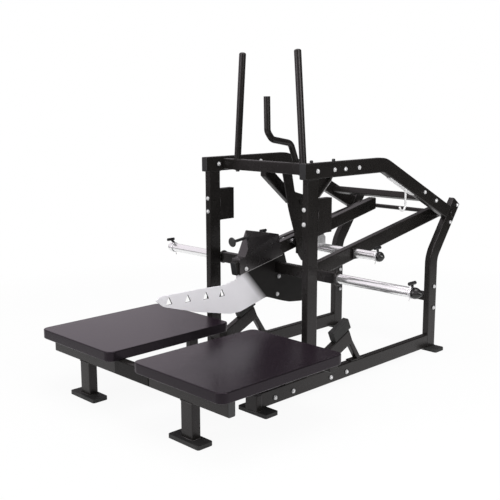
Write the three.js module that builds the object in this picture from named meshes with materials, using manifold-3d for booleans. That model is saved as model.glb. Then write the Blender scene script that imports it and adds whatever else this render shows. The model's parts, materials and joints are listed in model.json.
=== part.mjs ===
// Belt squat machine: welded side frames, a weighted lever with its belt plate, and a hand-released safety catch.
// Lengths in mm. X runs across the machine, Y from the user's end to the pivot end, Z up from the floor.
import * as THREE from 'three';
import { mergeVertices } from 'three/addons/utils/BufferGeometryUtils.js';
import Module from 'manifold-3d';

const wasm = await Module();
wasm.setup();

// Tube stock
const tubeWide = 40;
const tubeDeep = 80;
const tubeCorner = 6;
const memberDeep = 60;
const bendRadius = 150;
const clearGap = 0.3;

// Feet
const footThick = 20;
const footCorner = 12;
const footWide = 88;
const frontFootLong = 210;
const midFootLong = 196;
const rearFootLong = 169;
const midFootBack = 9;

// Side frames
const frameHalf = 385;
const uprightHeight = 1017;
const baseFront = 343;
const baseLong = 1451;
const topBeamNose = 19;
const topBendBack = 637;
const topSlopeRise = 490;
const topSlopeRun = 1000;
const rearBendHeight = 560;
const leanRun = 229.6;
const leanRise = 312.2;
const gussetBack = 108;
const gussetDrop = 92;
const gussetThick = 8;
const gussetLip = 11;

// Cross members
const topMemberBack = 118;
const topMemberDrop = 11;
const rearUpperBack = 1087;
const rearLowerHeight = 328;
const baseMemberFrontY = -168;
const baseMemberRearY = 261;
const baseMemberHeight = 53;

// Grip rods
const rodRadius = 19;
const rodFootInset = 142;
const rodLeanIn = 43;
const rodTopHeight = 1761;

// Platforms
const deckInner = 88.5;
const deckOuter = 707;
const deckFront = -885.5;
const deckBack = -92.5;
const deckTop = 321;
const deckThick = 50;
const deckCorner = 40;
const deckEdge = 5;
const frontBeamHalf = 674;
const frontBeamFace = -821;
const frontLegOut = 402;
const legDeep = 50;
const jointPlateHalf = 132;
const jointPlateThick = 3;
const rearDeckBeamInner = 100;
const rearDeckBeamBack = -130;

// Lower stops
const stopRise = 456;
const stopRun = 1000;
const stopLineBack = 341.5;
const stopLineHeight = 238;
const stopEndBack = 361.5;
const stopPadLong = 136;
const stopPadThick = 62;
const stopPadFromEnd = 18;
const propWide = 30;
const propFootLong = 109;
const propFootThick = 6;
const propFootBack = 424;
const propLeanBack = 96;

// Upper stop boxes
const boxDeep = 107;
const boxLow = 839;
const boxHigh = 1016;

// Lever pivot
const pivotFromEnd = 86;
const shaftRadius = 13;
const pivotHeadRadius = 24;
const pivotHeadThick = 6;
const bushRadius = 27;
const bushSideGap = 1;
const armSideGap = 69;

// Lever frame
const leverDeep = 70;
const leverRise = 205;
const leverRun = 1000;
const leverLineBack = 192.5;
const leverLineHeight = 705;
const leverFront = -145;
const leverRear = 1043;
const hornBeamBack = 183;
const hornBeamUnder = 37;
const armOverBeam = 16;
const hornBeamHalf = 440;
const hornCollarThick = 12;
const hornCollarRadius = 38;
const hornCollarEdge = 3;
const shortHornBack = 522;
const shortHornHeight = 670;
const shortFlangeThick = 12;
const shortFlangeSide = 62;
const saddleFootFront = 481;
const saddleFootRear = 577;
const saddleTopFront = 497;
const saddleTopRear = 560;

// Weight horns
const sleeveRadius = 25;
const longHornEnd = 893;
const shortHornEnd = 435;
const ballRadius = 28;
const longBallEnd = 945;
const shortBallEnd = 474;
const clipInset = 1.5;
const clipWide = 6;
const clipWall = 4;
const clipStemRadius = 7;
const clipStemRise = 22;
const clipLeanForward = 20;
const clipLeanOut = 12;
const clipBarRadius = 9;
const clipBarLong = 50;
const leftShortClipIn = 20;

// Belt plate, in the lever's middle plane
const beltThick = 8;
const beltHoleSide = 40;
const beltHoleCorner = 5;
const beltOutline = [
  [30, 584], [-100, 581], [-225, 560], [-385, 567], [-637, 571], [-668, 555], [-620, 515], [-418, 455], [-178, 400],
  [-106, 398], [95, 446], [214, 405], [280, 386], [388, 373], [406, 380], [410, 528], [273, 560], [230, 640], [95, 625],
];
const beltCorner = 12;
const beltHoleSpots = [[-586, 541], [-466, 534], [-345, 528], [-235, 524]];
const beltBoltSpots = [[190, 546], [178, 440]];

// Cover on the lever nose, with the pull knob
const coverHalf = 30;
const coverOutline = [
  [-130, 560], [-130, 690], [-92, 694], [-30, 826], [166, 789], [172, 745], [190, 690], [190, 600],
];
const coverNearFront = [-7, 758];
const coverNearRear = [109, 795];
const coverFarFront = [-30, 826];
const knobRadius = 26;
const knobThick = 12;
const knobStemRadius = 8;
const knobBack = -156;
const knobHeight = 779;
const knobStemLong = 120;
const knobRise = 12;
const knobRun = 100;

// Catch pin on the lever
const pinBack = 277;
const pinLift = 16;
const pinRadius = 12;
const pinCapRadius = 18;
const pinCapThick = 6;
const pinReach = 50;

// Safety catch
const hangerOffset = -24;
const hangerLow = [77, 1121];
const hangerEnd = [282, 952];
const catchPivot = [306, 958];
const catchBushRadius = 18;
const catchPinRadius = 8;
const catchInner = 52;
const catchThick = 8;
const catchOutline = [
  [165, 1122], [212, 930], [226, 887], [261, 791], [276, 714], [293, 664], [325, 622], [350, 640], [368, 740],
  [372, 900], [352, 985], [321, 997], [259, 1015], [236, 1118], [302, 1122], [302, 1172], [196, 1172],
];
const catchCorner = 8;
const hookFront = 306;
const hookRear = 346;
const hookLow = 664;
const hookHigh = 708;
const hookDeep = 26;
const handlePath = [[66, 1526], [70, 1344], [106, 1302], [250, 1277], [290, 1184], [298, 1130]];
const handleRadius = 17.5;
const handleBend = 45;

// Plate hook under the right beam
const jHookPlateFront = 695;
const jHookPlateRear = 925;
const jHookPlateWide = 30;
const jHookPlateThick = 5;
const jHookRadius = 6;
const jHookPath = [[859, 1001], [861, 905], [846, 886], [820, 886], [806, 908]];
const jHookBend = 12;

// Catch pin head
const washerRadius = 13;
const headThick = 7;

// Counts
const cornerSteps = 3;
const bendSteps = 6;
const roundSides = 28;
const rodSides = 18;
const boltSides = 12;

// Shares
const ballStartShare = 0.36;
const ballEndShare = 0.95;
const domeShares = [[1, 0], [0.87, 0.5], [0.5, 0.87], [0.17, 0.985]];

// Derived levels and planes
const half = (n) => n / 2;
const footTop = footThick;
const baseTop = footTop + tubeDeep;
const uprightTop = baseTop + uprightHeight;
const topBeamHigh = uprightTop + tubeDeep;
const sideX = frameHalf - half(tubeWide);
const innerX = frameHalf - tubeWide;
const baseRear = baseLong - baseFront;
const rearAxis = baseRear + half(tubeDeep);
const rearBend = footTop + rearBendHeight;
const deckLow = deckTop - deckThick;
const leanLong = Math.hypot(leanRun, leanRise);
const leanDir = new THREE.Vector3(0, leanRun / leanLong, leanRise / leanLong);
const leanEnd = at(0, rearAxis + leanRun, rearBend + leanRise);
const pivot = leanEnd.clone().addScaledVector(leanDir, -pivotFromEnd);
const leverDir = direction(leverRun, leverRise);
const armHalf = innerX - armSideGap;
const hornBeamHeight = leverUnder(hornBeamBack) - hornBeamUnder - half(memberDeep);
const armStart = at(0, hornBeamBack + half(tubeWide), hornBeamHeight + armOverBeam);
const armDir = pivot.clone().sub(armStart).normalize();
const stopDir = direction(stopRun, stopRise);

function at(x, y, z) {
  return new THREE.Vector3(x, y, z);
}

function direction(run, rise) {
  return at(0, run, rise).normalize();
}

// A point on a line in a side view, found at one distance back
function onLine(backKnown, heightKnown, dir, back) {
  return at(0, back, heightKnown + (back - backKnown) * dir.z / dir.y);
}

function leverAt(back) {
  return onLine(leverLineBack, leverLineHeight, leverDir, back);
}

function leverUnder(back) {
  return leverAt(back).z - half(leverDeep) / leverDir.y;
}

function stopAt(back) {
  return onLine(stopLineBack, stopLineHeight, stopDir, back);
}

// The upward square direction to a line in a side view
function upOf(dir) {
  return at(0, -dir.z, dir.y);
}

// Sections are lists of [across, up] points round a tube or bar
function softRectangle(wide, deep, corner) {
  const section = [];
  const centres = [[1, 1], [-1, 1], [-1, -1], [1, -1]];
  centres.forEach(([sx, sy], quarter) => {
    for (let step = 0; step <= cornerSteps; step += 1) {
      const turn = half(Math.PI) * (quarter + step / cornerSteps);
      section.push([
        sx * (half(wide) - corner) + corner * Math.cos(turn),
        sy * (half(deep) - corner) + corner * Math.sin(turn),
      ]);
    }
  });
  return section;
}

function roundSection(radius, sides) {
  return Array.from({ length: sides }, (_, side) => {
    const turn = 2 * Math.PI * side / sides;
    return [radius * Math.cos(turn), radius * Math.sin(turn)];
  });
}

function ringAt(section, centre, across, up) {
  return section.map(([a, b]) => centre.clone().addScaledVector(across, a).addScaledVector(up, b));
}

// The section carried along a line until it meets a flat face
function ringOnFace(section, centre, across, up, along, facePoint, faceNormal) {
  return ringAt(section, centre, across, up).map((point) => {
    const reach = facePoint.clone().sub(point).dot(faceNormal) / along.dot(faceNormal);
    return point.addScaledVector(along, reach);
  });
}

function volumeOf(points, faces) {
  let total = 0;
  for (const [a, b, c] of faces) {
    total += points[a].dot(points[b].clone().cross(points[c]));
  }
  return total;
}

// A closed skin over a row of rings, with flat ends
function loft(rings) {
  const sides = rings[0].length;
  const points = rings.flat();
  const faces = [];
  for (let row = 0; row + 1 < rings.length; row += 1) {
    for (let side = 0; side < sides; side += 1) {
      const next = (side + 1) % sides;
      const here = row * sides;
      const there = here + sides;
      faces.push([here + side, here + next, there + next], [here + side, there + next, there + side]);
    }
  }
  const last = (rings.length - 1) * sides;
  for (let side = 1; side + 1 < sides; side += 1) {
    faces.push([0, side + 1, side], [last, last + side, last + side + 1]);
  }
  const outward = volumeOf(points, faces) > 0;
  const geometry = new THREE.BufferGeometry();
  geometry.setAttribute('position', new THREE.Float32BufferAttribute(points.flatMap((p) => [p.x, p.y, p.z]), 3));
  geometry.setIndex(faces.flatMap(([a, b, c]) => (outward ? [a, b, c] : [a, c, b])));
  return geometry;
}

// A straight bar between two points in a side view
function sideBar(from, to, section) {
  const dir = to.clone().sub(from).normalize();
  const across = at(1, 0, 0);
  return loft([ringAt(section, from, across, upOf(dir)), ringAt(section, to, across, upOf(dir))]);
}

function crossBar(fromX, toX, back, height, section) {
  const rings = [fromX, toX].map((x) => ringAt(section, at(x, back, height), at(0, 1, 0), at(0, 0, 1)));
  return loft(rings);
}

function post(x, back, low, high, section) {
  const rings = [low, high].map((z) => ringAt(section, at(x, back, z), at(1, 0, 0), at(0, 1, 0)));
  return loft(rings);
}

// Side-view path with its corners rounded to arcs
function bentPath(points, radius) {
  const path = [points[0].clone()];
  for (let i = 1; i + 1 < points.length; i += 1) {
    const into = points[i].clone().sub(points[i - 1]).normalize();
    const out = points[i + 1].clone().sub(points[i]).normalize();
    const turn = into.angleTo(out);
    const reach = radius * Math.tan(half(turn));
    const start = points[i].clone().addScaledVector(into, -reach);
    const end = points[i].clone().addScaledVector(out, reach);
    for (let step = 0; step <= bendSteps; step += 1) {
      const s = step / bendSteps;
      const a = start.clone().lerp(points[i], s);
      const b = points[i].clone().lerp(end, s);
      path.push(a.lerp(b, s));
    }
  }
  path.push(points[points.length - 1].clone());
  return path;
}

function pathRings(path, section) {
  const across = at(1, 0, 0);
  return path.map((point, i) => {
    const before = path[Math.max(i - 1, 0)];
    const after = path[Math.min(i + 1, path.length - 1)];
    const dir = after.clone().sub(before).normalize();
    return ringAt(section, point, across, upOf(dir));
  });
}

// A turned piece: a row of [distance along, radius] steps on an axis
function turned(steps, origin, axis, sides) {
  const helper = Math.abs(axis.z) > Math.abs(axis.x) ? at(1, 0, 0) : at(0, 0, 1);
  const across = helper.clone().cross(axis).normalize();
  const up = axis.clone().cross(across);
  return loft(steps.map(([along, radius]) => {
    const centre = origin.clone().addScaledVector(axis, along);
    return ringAt(roundSection(radius, sides), centre, across, up);
  }));
}

function rod(from, to, radius, sides) {
  const axis = to.clone().sub(from);
  const long = axis.length();
  return turned([[0, radius], [long, radius]], from, axis.normalize(), sides);
}

// Outline with each corner cut back and rounded
function softOutline(points, corner) {
  const shape = new THREE.Shape();
  const count = points.length;
  points.forEach(([y, z], i) => {
    const here = new THREE.Vector2(y, z);
    const before = new THREE.Vector2(...points[(i + count - 1) % count]);
    const after = new THREE.Vector2(...points[(i + 1) % count]);
    const cutIn = Math.min(corner, here.distanceTo(before) / 3);
    const cutOut = Math.min(corner, here.distanceTo(after) / 3);
    const start = here.clone().add(before.sub(here).setLength(cutIn));
    const end = here.clone().add(after.sub(here).setLength(cutOut));
    if (i === 0) {
      shape.moveTo(start.x, start.y);
    } else {
      shape.lineTo(start.x, start.y);
    }
    shape.quadraticCurveTo(here.x, here.y, end.x, end.y);
  });
  shape.closePath();
  return shape;
}

function flatOutline(points) {
  return new THREE.Shape(points.map(([a, b]) => new THREE.Vector2(a, b)));
}

function slab(shape, thick) {
  return new THREE.ExtrudeGeometry(shape, { depth: thick, bevelEnabled: false, curveSegments: cornerSteps });
}

// A plate standing in a side view, from its near face at x
function sidePlate(shape, x, thick) {
  const geometry = slab(shape, thick);
  const turn = new THREE.Matrix4().makeBasis(at(0, 1, 0), at(0, 0, 1), at(1, 0, 0));
  geometry.applyMatrix4(turn);
  geometry.translate(x, 0, 0);
  return geometry;
}

function layer(shape, low, thick) {
  const geometry = slab(shape, thick);
  geometry.translate(0, 0, low);
  return geometry;
}

function rectangle(x0, x1, y0, y1) {
  return [[x0, y0], [x1, y0], [x1, y1], [x0, y1]];
}

function block(x0, x1, y0, y1, z0, z1) {
  const geometry = new THREE.BoxGeometry(x1 - x0, y1 - y0, z1 - z0);
  geometry.translate(half(x0 + x1), half(y0 + y1), half(z0 + z1));
  return geometry;
}

function plain(geometry) {
  const copy = geometry.clone();
  copy.deleteAttribute('normal');
  copy.deleteAttribute('uv');
  return mergeVertices(copy);
}

function solid(geometry) {
  const merged = plain(geometry);
  return new wasm.Manifold(new wasm.Mesh({
    numProp: 3,
    vertProperties: new Float32Array(merged.attributes.position.array),
    triVerts: new Uint32Array(merged.index.array),
  }));
}

function skin(body) {
  const mesh = body.getMesh();
  const geometry = new THREE.BufferGeometry();
  geometry.setAttribute('position', new THREE.BufferAttribute(new Float32Array(mesh.vertProperties), 3));
  geometry.setIndex(Array.from(mesh.triVerts));
  return geometry;
}

const joined = (...pieces) => skin(pieces.map(solid).reduce((a, b) => a.add(b)));
const cutBy = (piece, ...cutters) => skin(cutters.map(solid).reduce((a, b) => a.subtract(b), solid(piece)));

function mirrored(geometry) {
  const copy = plain(geometry);
  copy.scale(-1, 1, 1);
  const index = copy.index.array;
  for (let i = 0; i < index.length; i += 3) {
    [index[i], index[i + 1]] = [index[i + 1], index[i]];
  }
  return copy;
}

const machine = new THREE.Group();
machine.name = 'belt_squat_machine';
const finishes = {
  frame: [0x242220, 0.42, 0.3],
  deck: [0x3f3a42, 0.8, 0],
  rubber: [0x161616, 0.85, 0],
  chrome: [0xd9dade, 0.12, 1],
  zinc: [0xb9bbbe, 0.35, 1],
  plastic: [0x141414, 0.5, 0],
  silver: [0xdcdce0, 0.4, 0.9],
};

function place(name, geometry, finish) {
  const [color, roughness, metalness] = finishes[finish];
  const shaped = plain(geometry);
  shaped.computeVertexNormals();
  const mesh = new THREE.Mesh(shaped, new THREE.MeshStandardMaterial({ color, roughness, metalness }));
  mesh.name = name;
  machine.add(mesh);
}

// The same piece on both sides, drawn for the right side
function placePair(name, geometry, finish) {
  place(`${name}_R`, geometry, finish);
  place(`${name}_L`, mirrored(geometry), finish);
}

const bothSides = (geometry) => [geometry, mirrored(geometry)];
const tube = softRectangle(tubeWide, tubeDeep, tubeCorner);
const flatTube = softRectangle(tubeDeep, tubeWide, tubeCorner);
const member = softRectangle(tubeWide, memberDeep, tubeCorner);
const leverTube = softRectangle(tubeWide, leverDeep, tubeCorner);

// Side frames
const leanNormal = upOf(leanDir);
const leanFace = leanEnd.clone().addScaledVector(leanNormal, half(tubeDeep) + clearGap);
const topAxis = uprightTop + half(tubeDeep);
const slopeDir = direction(topSlopeRun, -topSlopeRise);

function topBeam() {
  const bend = at(sideX, topBendBack, topAxis);
  const past = bend.clone().addScaledVector(slopeDir, topBendBack);
  const path = bentPath([at(sideX, -topBeamNose, topAxis), bend, past], bendRadius);
  const rings = pathRings(path.slice(0, -1), tube);
  const lastPoint = path[path.length - 2];
  const faceCut = ringOnFace(tube, lastPoint, at(1, 0, 0), upOf(slopeDir), slopeDir, leanFace, leanNormal);
  rings[rings.length - 1] = ringAt(tube, lastPoint, at(1, 0, 0), upOf(slopeDir));
  rings.push(faceCut);
  return loft(rings);
}

// The clear hole for the pivot shaft, right across the machine
function shaftBore() {
  return rod(at(-frameHalf - tubeWide, pivot.y, pivot.z), at(frameHalf + tubeWide, pivot.y, pivot.z),
    shaftRadius + clearGap, rodSides);
}

function rearUpright() {
  const foot = at(sideX, rearAxis, footTop);
  const bend = at(sideX, rearAxis, rearBend);
  const end = leanEnd.clone().setX(sideX);
  const rings = pathRings(bentPath([foot, bend, end], bendRadius), tube);
  return cutBy(loft(rings), shaftBore());
}

function sideFrames() {
  const baseLine = footTop + half(tubeDeep);
  placePair('base_beam', sideBar(at(sideX, -baseFront, baseLine), at(sideX, baseRear, baseLine), tube), 'frame');
  placePair('top_beam', topBeam(), 'frame');
  placePair('rear_upright', rearUpright(), 'frame');
  const upright = post(sideX, half(tubeDeep), baseTop, uprightTop, tube);
  place('front_upright_L', mirrored(upright), 'frame');
  place('front_upright_R', joined(upright, gusset()), 'frame');
}

// Web and lip in the corner behind the right upright
function gusset() {
  const low = uprightTop - gussetDrop;
  const outline = flatOutline([
    [half(tubeDeep), uprightTop], [half(tubeDeep), low], [tubeDeep, low], [tubeDeep + gussetBack, uprightTop],
  ]);
  const web = sidePlate(outline, sideX - half(gussetThick), gussetThick);
  const dir = direction(gussetBack, gussetDrop);
  const lipIn = half(gussetLip);
  const line = at(sideX, tubeDeep, low).addScaledVector(upOf(dir), lipIn);
  const from = line.clone().addScaledVector(dir, -gussetLip);
  const to = line.clone().addScaledVector(dir, 2 * gussetBack);
  const lip = sideBar(from, to, softRectangle(tubeWide, gussetLip, clearGap));
  const above = block(innerX - tubeWide, frameHalf + tubeWide, 0, baseRear, uprightTop, topBeamHigh);
  return cutBy(joined(web, lip), above);
}

// Cross members between the side frames
const topMemberHeight = topBeamHigh - topMemberDrop - half(memberDeep);

function slopeLineAt(back) {
  return onLine(topBendBack, topAxis, slopeDir, back);
}

function crossMembers() {
  const upper = slopeLineAt(rearUpperBack);
  const upperSection = softRectangle(tubeWide, tubeWide, tubeCorner);
  const ringFrom = (x) => ringAt(upperSection, upper.clone().setX(x), slopeDir, upOf(slopeDir));
  place('top_cross_member', crossBar(-innerX, innerX, topMemberBack, topMemberHeight, member), 'frame');
  place('rear_upper_member', loft([ringFrom(-innerX), ringFrom(innerX)]), 'frame');
  place('rear_lower_member', crossBar(-innerX, innerX, rearAxis, rearLowerHeight, flatTube), 'frame');
  place('base_front_member', crossBar(-innerX, innerX, baseMemberFrontY, baseMemberHeight, flatTube), 'frame');
  place('base_rear_member', crossBar(-innerX, innerX, baseMemberRearY, baseMemberHeight, flatTube), 'frame');
}

// Grip rods standing on the top cross member
function gripRods() {
  const foot = at(frameHalf - rodFootInset, topMemberBack, topMemberHeight + half(memberDeep));
  const top = foot.clone().setX(foot.x - rodLeanIn).setZ(rodTopHeight - half(rodRadius));
  const axis = top.clone().sub(foot).normalize();
  const long = top.distanceTo(foot);
  const dome = domeShares.map(([radiusShare, riseShare]) => [
    long + half(rodRadius) * riseShare, rodRadius * radiusShare,
  ]);
  const lean = turned([[-tubeWide, rodRadius], ...dome], foot, axis, rodSides);
  const below = block(0, frameHalf, 0, 2 * topMemberBack, 0, foot.z);
  placePair('grip_rod', cutBy(lean, below), 'frame');
}

// Feet under the legs and the rear uprights
const footSpots = {
  front: [frontLegOut, frontBeamFace + half(tubeWide), frontFootLong],
  mid: [sideX, -baseFront + midFootBack, midFootLong],
  rear: [sideX, rearAxis, rearFootLong],
};

function feet() {
  for (const [name, [x, y, long]] of Object.entries(footSpots)) {
    const outline = rectangle(x - half(long), x + half(long), y - half(footWide), y + half(footWide));
    placePair(`${name}_foot`, layer(softOutline(outline, footCorner), 0, footThick), 'rubber');
  }
}

// Platforms on their under-frame
function platforms() {
  const shape = softOutline(rectangle(deckInner + deckEdge, deckOuter - deckEdge, deckFront + deckEdge,
    deckBack - deckEdge), deckCorner);
  const deck = new THREE.ExtrudeGeometry(shape, {
    depth: deckThick - 2 * deckEdge,
    bevelEnabled: true,
    bevelThickness: deckEdge,
    bevelSize: deckEdge,
    bevelSegments: cornerSteps,
    curveSegments: 2 * cornerSteps,
  });
  deck.translate(0, 0, deckLow + deckEdge);
  placePair('deck', deck, 'deck');
  const beamBack = frontBeamFace + half(tubeWide);
  const beamHeight = deckLow - half(tubeDeep);
  place('deck_front_beam', crossBar(-frontBeamHalf, frontBeamHalf, beamBack, beamHeight, tube), 'frame');
  place('deck_joint_plate', block(-jointPlateHalf, jointPlateHalf, frontBeamFace - jointPlateThick, frontBeamFace,
    deckLow - tubeDeep + tubeCorner, deckLow - tubeCorner), 'plastic');
  const legSection = softRectangle(tubeDeep, legDeep, tubeCorner);
  placePair('front_leg', post(frontLegOut, frontBeamFace + half(legDeep), footTop, deckLow - tubeDeep, legSection),
    'frame');
  placePair('mid_leg', post(sideX, -baseFront - half(tubeWide), footTop, baseTop, flatTube), 'frame');
  const rearBar = crossBar(rearDeckBeamInner, frontBeamHalf, rearDeckBeamBack, deckLow - half(tubeWide),
    softRectangle(memberDeep, tubeWide, tubeCorner));
  const rearPost = post(sideX, rearDeckBeamBack, baseTop, deckLow - half(tubeWide), member);
  placePair('deck_rear_beam', joined(rearBar, rearPost), 'frame');
}

// Lower stops: an inclined tube with a rubber block and a prop behind
function lowerStops() {
  const end = stopAt(stopEndBack).setX(sideX);
  const start = stopAt(0).setX(sideX);
  const bar = sideBar(start, end, tube);
  const cutter = joined(block(0, 2 * frameHalf, -baseFront, tubeDeep, -tubeDeep, uprightTop),
    block(0, 2 * frameHalf, -baseFront, baseRear, -tubeDeep, baseTop));
  const incline = cutBy(bar, cutter);
  const propTop = end.clone().addScaledVector(stopDir, -half(propWide));
  const propRun = propTop.clone().sub(at(sideX, propTop.y + propLeanBack, baseTop));
  const propLow = propTop.clone().addScaledVector(propRun, -2);
  const propSection = softRectangle(tubeWide - tubeCorner, propWide, tubeCorner);
  const propFloor = baseTop + half(propFootThick);
  const prop = cutBy(sideBar(propTop, propLow, propSection),
    block(0, 2 * frameHalf, -baseFront, baseRear, -uprightTop, propFloor));
  const foot = block(innerX, frameHalf, propFootBack - half(propFootLong), propFootBack + half(propFootLong), baseTop,
    baseTop + propFootThick);
  placePair('stop_ramp', joined(incline, prop, foot), 'frame');
  const up = upOf(stopDir);
  const padMiddle = end.clone().addScaledVector(stopDir, stopPadFromEnd - half(stopPadLong))
    .addScaledVector(up, half(tubeDeep) + clearGap + half(stopPadThick));
  const padFrom = padMiddle.clone().addScaledVector(stopDir, -half(stopPadLong));
  const padTo = padMiddle.clone().addScaledVector(stopDir, half(stopPadLong));
  placePair('stop_pad', sideBar(padFrom, padTo, softRectangle(tubeWide, stopPadThick, tubeCorner)), 'rubber');
}

function upperStops() {
  placePair('stop_box', post(sideX, tubeDeep + half(boxDeep), boxLow, boxHigh,
    softRectangle(tubeWide, boxDeep, tubeCorner)), 'frame');
}

// One shaft through both rear uprights and both arms, with a head at each end
function pivotShaft() {
  const face = frameHalf + clearGap;
  const head = frameHalf + pivotHeadThick;
  const nose = head + half(pivotHeadThick);
  const halfSteps = [
    [face, shaftRadius], [face, pivotHeadRadius], [head, pivotHeadRadius],
    [nose, pivotHeadRadius - half(pivotHeadThick)],
  ];
  const steps = [...halfSteps.map(([along, radius]) => [-along, radius]).reverse(), ...halfSteps];
  place('pivot_shaft', turned(steps, at(0, pivot.y, pivot.z), at(1, 0, 0), rodSides), 'zinc');
}

// Lever frame
function leverFrame() {
  place('lever_beam', leverBeam(), 'frame');
  placePair('side_arm', sideArm(), 'frame');
  place('horn_beam', hornBeam(), 'frame');
  place('short_horn_beam', shortHornBeam(), 'chrome');
}

function leverBeam() {
  const height = leverAt(pinBack).z + pinLift;
  const bar = sideBar(leverAt(leverFront), leverAt(leverRear + tubeWide), leverTube);
  const beyond = block(-tubeWide, tubeWide, leverRear, leverRear + leverDeep, 0, topBeamHigh);
  const bore = rod(at(-tubeWide, pinBack, height), at(tubeWide, pinBack, height), pinRadius + clearGap, rodSides);
  return cutBy(bar, beyond, bore);
}

function sideArm() {
  const x = armHalf - half(tubeWide);
  const start = armStart.clone().addScaledVector(armDir, -tubeDeep).setX(x);
  const end = at(x, pivot.y, pivot.z).addScaledVector(armDir, half(tubeDeep));
  const bushEnd = innerX - bushSideGap;
  const bush = rod(at(armHalf - tubeWide, pivot.y, pivot.z), at(bushEnd, pivot.y, pivot.z), bushRadius, roundSides);
  const ahead = block(0, frameHalf, -armStart.y, armStart.y, 0, uprightTop);
  const flange = crossBar(armHalf - half(tubeWide), armHalf + shortFlangeThick, shortHornBack, shortHornHeight,
    softRectangle(shortFlangeSide, shortFlangeSide, tubeCorner));
  return cutBy(joined(sideBar(start, end, tube), bush, flange), shaftBore(), ahead);
}

function hornBeam() {
  const inside = hornBeamHalf - half(hornCollarThick);
  const bar = crossBar(-inside, inside, hornBeamBack, hornBeamHeight, member);
  const rim = hornCollarRadius - hornCollarEdge;
  const steps = [
    [hornBeamHalf - hornCollarThick, rim], [hornBeamHalf - hornCollarThick + hornCollarEdge, hornCollarRadius],
    [hornBeamHalf - hornCollarEdge, hornCollarRadius], [hornBeamHalf, rim],
  ];
  const collar = turned(steps, at(0, hornBeamBack, hornBeamHeight), at(1, 0, 0), roundSides);
  return joined(bar, ...bothSides(collar));
}

function shortHornBeam() {
  const inner = armHalf - tubeWide;
  const bar = rod(at(-inner, shortHornBack, shortHornHeight), at(inner, shortHornBack, shortHornHeight),
    sleeveRadius, roundSides);
  const saddleTop = (back) => leverUnder(back) - clearGap;
  const shoulder = saddleTop(saddleTopRear) - half(tubeWide);
  const outline = flatOutline([
    [saddleFootFront, shortHornHeight], [saddleFootRear, shortHornHeight], [saddleFootRear, shoulder],
    [saddleTopRear, saddleTop(saddleTopRear)], [saddleTopFront, saddleTop(saddleTopFront)],
  ]);
  const saddle = sidePlate(outline, -half(tubeWide) + tubeCorner, tubeWide - 2 * tubeCorner);
  return joined(bar, saddle);
}

// Chrome sleeves with their end balls and clips
function horn(root, end, ballEnd, origin) {
  const long = ballEnd - end;
  const steps = [[root, sleeveRadius], [end, sleeveRadius]];
  const count = 2 * bendSteps;
  for (let i = 1; i <= count; i += 1) {
    const share = i / count;
    const around = (ballStartShare + (ballEndShare - ballStartShare) * share) * Math.PI;
    steps.push([end + long * share, ballRadius * Math.sin(around)]);
  }
  return turned(steps, origin, at(1, 0, 0), roundSides);
}

function horns() {
  const longAt = at(0, hornBeamBack, hornBeamHeight);
  const shortAt = at(0, shortHornBack, shortHornHeight);
  placePair('long_horn', horn(hornBeamHalf, longHornEnd, longBallEnd, longAt), 'chrome');
  placePair('short_horn', horn(armHalf + shortFlangeThick, shortHornEnd, shortBallEnd, shortAt), 'chrome');
  placePair('long_clip', hornClip(longHornEnd - clipInset, longAt), 'plastic');
  place('short_clip_R', hornClip(shortHornEnd - clipInset, shortAt), 'plastic');
  place('short_clip_L', mirrored(hornClip(shortHornEnd - clipInset, shortAt)).translate(leftShortClipIn, 0, 0),
    'plastic');
}

function hornClip(outer, origin) {
  const inner = outer - clipWide;
  const middle = half(outer + inner);
  const collarRadius = sleeveRadius + clipWall;
  const along = at(1, 0, 0);
  const collar = turned([[inner, collarRadius], [outer, collarRadius]], origin, along, rodSides);
  const stemTop = origin.clone().add(at(middle + clipLeanOut, -clipLeanForward, collarRadius + clipStemRise));
  const stem = rod(origin.clone().add(at(middle, 0, sleeveRadius + half(clipWall))), stemTop, clipStemRadius,
    boltSides);
  const reach = at(0, half(clipBarLong), 0);
  const bar = rod(stemTop.clone().sub(reach), stemTop.clone().add(reach), clipBarRadius, boltSides);
  const bore = turned([
    [0, sleeveRadius + clearGap], [outer, sleeveRadius + clearGap],
    [outer, ballRadius + clearGap], [2 * outer, ballRadius + clearGap],
  ], origin, along, roundSides);
  return cutBy(joined(collar, stem, bar), bore);
}

// The room the lever beam takes, with a clear gap above and below
function leverRoom(wide) {
  const section = softRectangle(wide, leverDeep + 2 * clearGap, clearGap);
  return sideBar(leverAt(leverFront - tubeDeep), leverAt(leverRear), section);
}

// Belt plate with its four hitch holes, clear round the horn beam
function beltPlate() {
  const shape = softOutline(beltOutline, beltCorner);
  const plate = sidePlate(shape, -half(beltThick), beltThick);
  const window = crossBar(-tubeWide, tubeWide, hornBeamBack, hornBeamHeight,
    softRectangle(tubeWide + 2 * clearGap, memberDeep + 2 * clearGap, clearGap));
  const holes = beltHoleSpots.map(hitchHole);
  place('belt_plate', cutBy(plate, window, leverRoom(2 * tubeWide), ...holes), 'silver');
}

function hitchHole([y, z]) {
  const reach = half(beltHoleSide);
  const outline = [[y - reach, z - reach], [y + reach, z - reach], [y, z + reach]];
  return sidePlate(softOutline(outline, beltHoleCorner), -beltThick, 2 * beltThick);
}

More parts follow.
